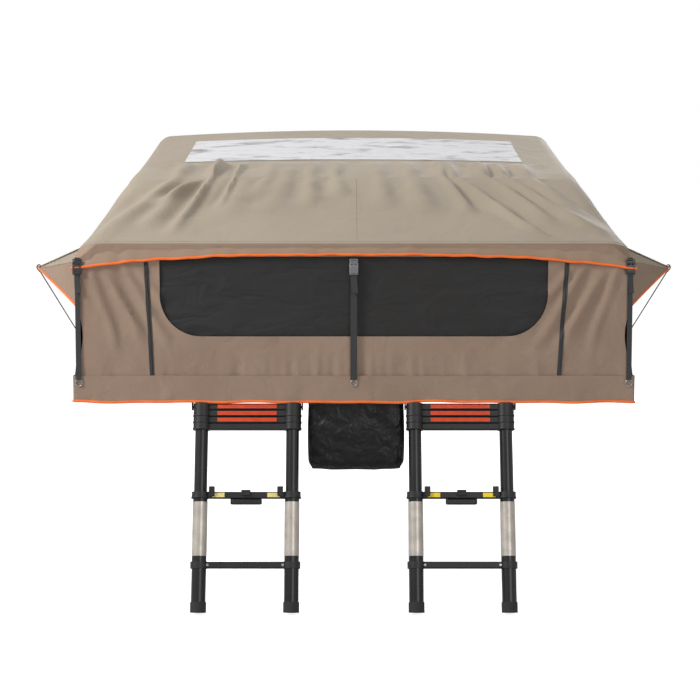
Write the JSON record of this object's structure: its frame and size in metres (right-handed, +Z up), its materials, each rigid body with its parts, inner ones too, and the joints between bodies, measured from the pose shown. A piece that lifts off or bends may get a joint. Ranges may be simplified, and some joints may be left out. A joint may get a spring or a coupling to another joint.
{
  "type": "roof top tent",
  "caption": "Fold-out roof top tent on a hinged base with bows, a fly with a clear skylight, side awnings, a mesh window, a shoe bag and telescopic ladders.",
  "frame": {"origin": "middle of the rack face, on the underside of the mounting channels below the fixed base half", "axes": "+Z up, X along the hinge line, -Y towards the ladders"},
  "size_m": [2.7808, 2.7721, 2.0537],
  "materials": {
    "bare_aluminium": "satin",
    "steel": "satin",
    "floor_panel": "satin",
    "mattress_cover": "matt",
    "taupe_cloth": "matt",
    "khaki_cloth": "matt",
    "mesh": "matt",
    "clear_film": "glossy",
    "bag_nylon": "shiny",
    "webbing": "matt",
    "buckle_plastic": "satin",
    "ladder_black": "satin",
    "rung_black": "satin",
    "black_rubber": "matt"
  },
  "bodies": {
    "base": {"mount_channels": "bare_aluminium", "fixed_frame": "bare_aluminium", "fixed_floor": "floor_panel", "fixed_mattress": "mattress_cover", "fixed_hinge_brackets": "steel", "hinge_pins": "steel", "rear_wall": "taupe_cloth", "rear_skirt": "taupe_cloth", "rear_awning_rods": "steel"},
    "folding_half": {"folding_frame": "bare_aluminium", "folding_floor": "floor_panel", "folding_mattress": "mattress_cover", "folding_hinge_brackets": "steel", "ladder_brackets": "ladder_black", "front_wall": "taupe_cloth", "window_mesh": "mesh", "front_side_walls": "taupe_cloth", "front_skirt": "taupe_cloth", "front_awning_rods": "steel", "shoe_bag": "bag_nylon", "front_straps": "webbing", "strap_rings": "steel"},
    "front_eave_bow": {"front_eave_bow": "bare_aluminium", "fly_front": "khaki_cloth", "strap_buckles": "buckle_plastic"},
    "front_mid_bow": {"front_mid_bow": "bare_aluminium", "fly_front_top": "khaki_cloth", "skylight": "clear_film"},
    "ridge_bow": {"ridge_bow": "bare_aluminium"},
    "rear_mid_bow": {"rear_mid_bow": "bare_aluminium", "fly_rear_top": "khaki_cloth"},
    "rear_eave_bow": {"rear_eave_bow": "bare_aluminium", "fly_rear": "khaki_cloth"},
    "ladder_left_section_5": {"ladder_left_rails_5": "ladder_black", "ladder_left_rung_5": "rung_black"},
    "ladder_left_section_4": {"ladder_left_rails_4": "ladder_black", "ladder_left_rung_4": "rung_black"},
    "ladder_left_section_3": {"ladder_left_rails_3": "ladder_black", "ladder_left_rung_3": "rung_black"},
    "ladder_left_section_2": {"ladder_left_rails_2": "ladder_black", "ladder_left_rung_2": "rung_black"},
    "ladder_left_section_1": {"ladder_left_rails_1": "ladder_black", "ladder_left_rung_1": "rung_black", "ladder_left_feet": "black_rubber", "ladder_left_handle": "rung_black"},
    "ladder_left_button": {"ladder_left_button": "rung_black"},
    "ladder_right_section_5": {"ladder_right_rails_5": "ladder_black", "ladder_right_rung_5": "rung_black"},
    "ladder_right_section_4": {"ladder_right_rails_4": "ladder_black", "ladder_right_rung_4": "rung_black"},
    "ladder_right_section_3": {"ladder_right_rails_3": "ladder_black", "ladder_right_rung_3": "rung_black"},
    "ladder_right_section_2": {"ladder_right_rails_2": "ladder_black", "ladder_right_rung_2": "rung_black"},
    "ladder_right_section_1": {"ladder_right_rails_1": "ladder_black", "ladder_right_rung_1": "rung_black", "ladder_right_feet": "black_rubber", "ladder_right_handle": "rung_black"},
    "ladder_right_button": {"ladder_right_button": "rung_black"}
  },
  "joints": [
    {"name": "fold", "type": "hinge", "parent": "base", "child": "folding_half", "pos_m": [0, -0.625, 0.2], "axis": [-1, 0, 0], "range_deg": [0, 180], "deforming": ["rear_wall", "front_wall", "window_mesh", "front_side_walls", "fly_front", "fly_front_top", "skylight", "fly_rear_top", "fly_rear", "front_straps"]},
    {"name": "front_eave_turn", "type": "hinge", "parent": "folding_half", "child": "front_eave_bow", "pos_m": [0, -0.625, 0.2], "axis": [-1, 0, 0], "range_deg": [-21.51, 0.01]},
    {"name": "front_mid_turn", "type": "hinge", "parent": "front_eave_bow", "child": "front_mid_bow", "pos_m": [0, -0.625, 0.2], "axis": [-1, 0, 0], "range_deg": [-24.51, 0.01]},
    {"name": "ridge_turn", "type": "hinge", "parent": "front_mid_bow", "child": "ridge_bow", "pos_m": [0, -0.625, 0.2], "axis": [-1, 0, 0], "range_deg": [-44.01, 0.01]},
    {"name": "rear_mid_turn", "type": "hinge", "parent": "ridge_bow", "child": "rear_mid_bow", "pos_m": [0, -0.625, 0.2], "axis": [-1, 0, 0], "range_deg": [-44.01, 0.01]},
    {"name": "rear_eave_turn", "type": "hinge", "parent": "rear_mid_bow", "child": "rear_eave_bow", "pos_m": [0, -0.625, 0.2], "axis": [-1, 0, 0], "range_deg": [-24.51, 0.01]},
    {"name": "ladder_left_swing", "type": "hinge", "parent": "folding_half", "child": "ladder_left_section_5", "pos_m": [-0.453, -1.861, -0.007], "axis": [-1, 0, 0], "range_deg": [-17, 3]},
    {"name": "ladder_left_slide_4", "type": "slide", "parent": "ladder_left_section_5", "child": "ladder_left_section_4", "axis": [0, -0.2924, -0.9563], "range_m": [0, 0.2635]},
    {"name": "ladder_left_slide_3", "type": "slide", "parent": "ladder_left_section_4", "child": "ladder_left_section_3", "axis": [0, -0.2924, -0.9563], "range_m": [0, 0.2635]},
    {"name": "ladder_left_slide_2", "type": "slide", "parent": "ladder_left_section_3", "child": "ladder_left_section_2", "axis": [0, -0.2924, -0.9563], "range_m": [0, 0.2635]},
    {"name": "ladder_left_slide_1", "type": "slide", "parent": "ladder_left_section_2", "child": "ladder_left_section_1", "axis": [0, -0.2924, -0.9563], "range_m": [-0.2635, 0]},
    {"name": "ladder_left_press", "type": "slide", "parent": "ladder_left_section_1", "child": "ladder_left_button", "axis": [0, 0.9563, -0.2924], "range_m": [0, 0.003], "stiffness_N_per_m": 400},
    {"name": "ladder_right_swing", "type": "hinge", "parent": "folding_half", "child": "ladder_right_section_5", "pos_m": [0.453, -1.861, -0.007], "axis": [-1, 0, 0], "range_deg": [-17, 3]},
    {"name": "ladder_right_slide_4", "type": "slide", "parent": "ladder_right_section_5", "child": "ladder_right_section_4", "axis": [0, -0.2924, -0.9563], "range_m": [0, 0.2635]},
    {"name": "ladder_right_slide_3", "type": "slide", "parent": "ladder_right_section_4", "child": "ladder_right_section_3", "axis": [0, -0.2924, -0.9563], "range_m": [0, 0.2635]},
    {"name": "ladder_right_slide_2", "type": "slide", "parent": "ladder_right_section_3", "child": "ladder_right_section_2", "axis": [0, -0.2924, -0.9563], "range_m": [0, 0.2635]},
    {"name": "ladder_right_slide_1", "type": "slide", "parent": "ladder_right_section_2", "child": "ladder_right_section_1", "axis": [0, -0.2924, -0.9563], "range_m": [-0.2635, 0]},
    {"name": "ladder_right_press", "type": "slide", "parent": "ladder_right_section_1", "child": "ladder_right_button", "axis": [0, 0.9563, -0.2924], "range_m": [0, 0.003], "stiffness_N_per_m": 400}
  ],
  "couplings": [
    {"joint": "front_eave_turn", "follows": "fold", "ratio": -0.11944},
    {"joint": "front_mid_turn", "follows": "fold", "ratio": -0.13611},
    {"joint": "ridge_turn", "follows": "fold", "ratio": -0.24444},
    {"joint": "rear_mid_turn", "follows": "fold", "ratio": -0.24444},
    {"joint": "rear_eave_turn", "follows": "fold", "ratio": -0.13611}
  ]
}
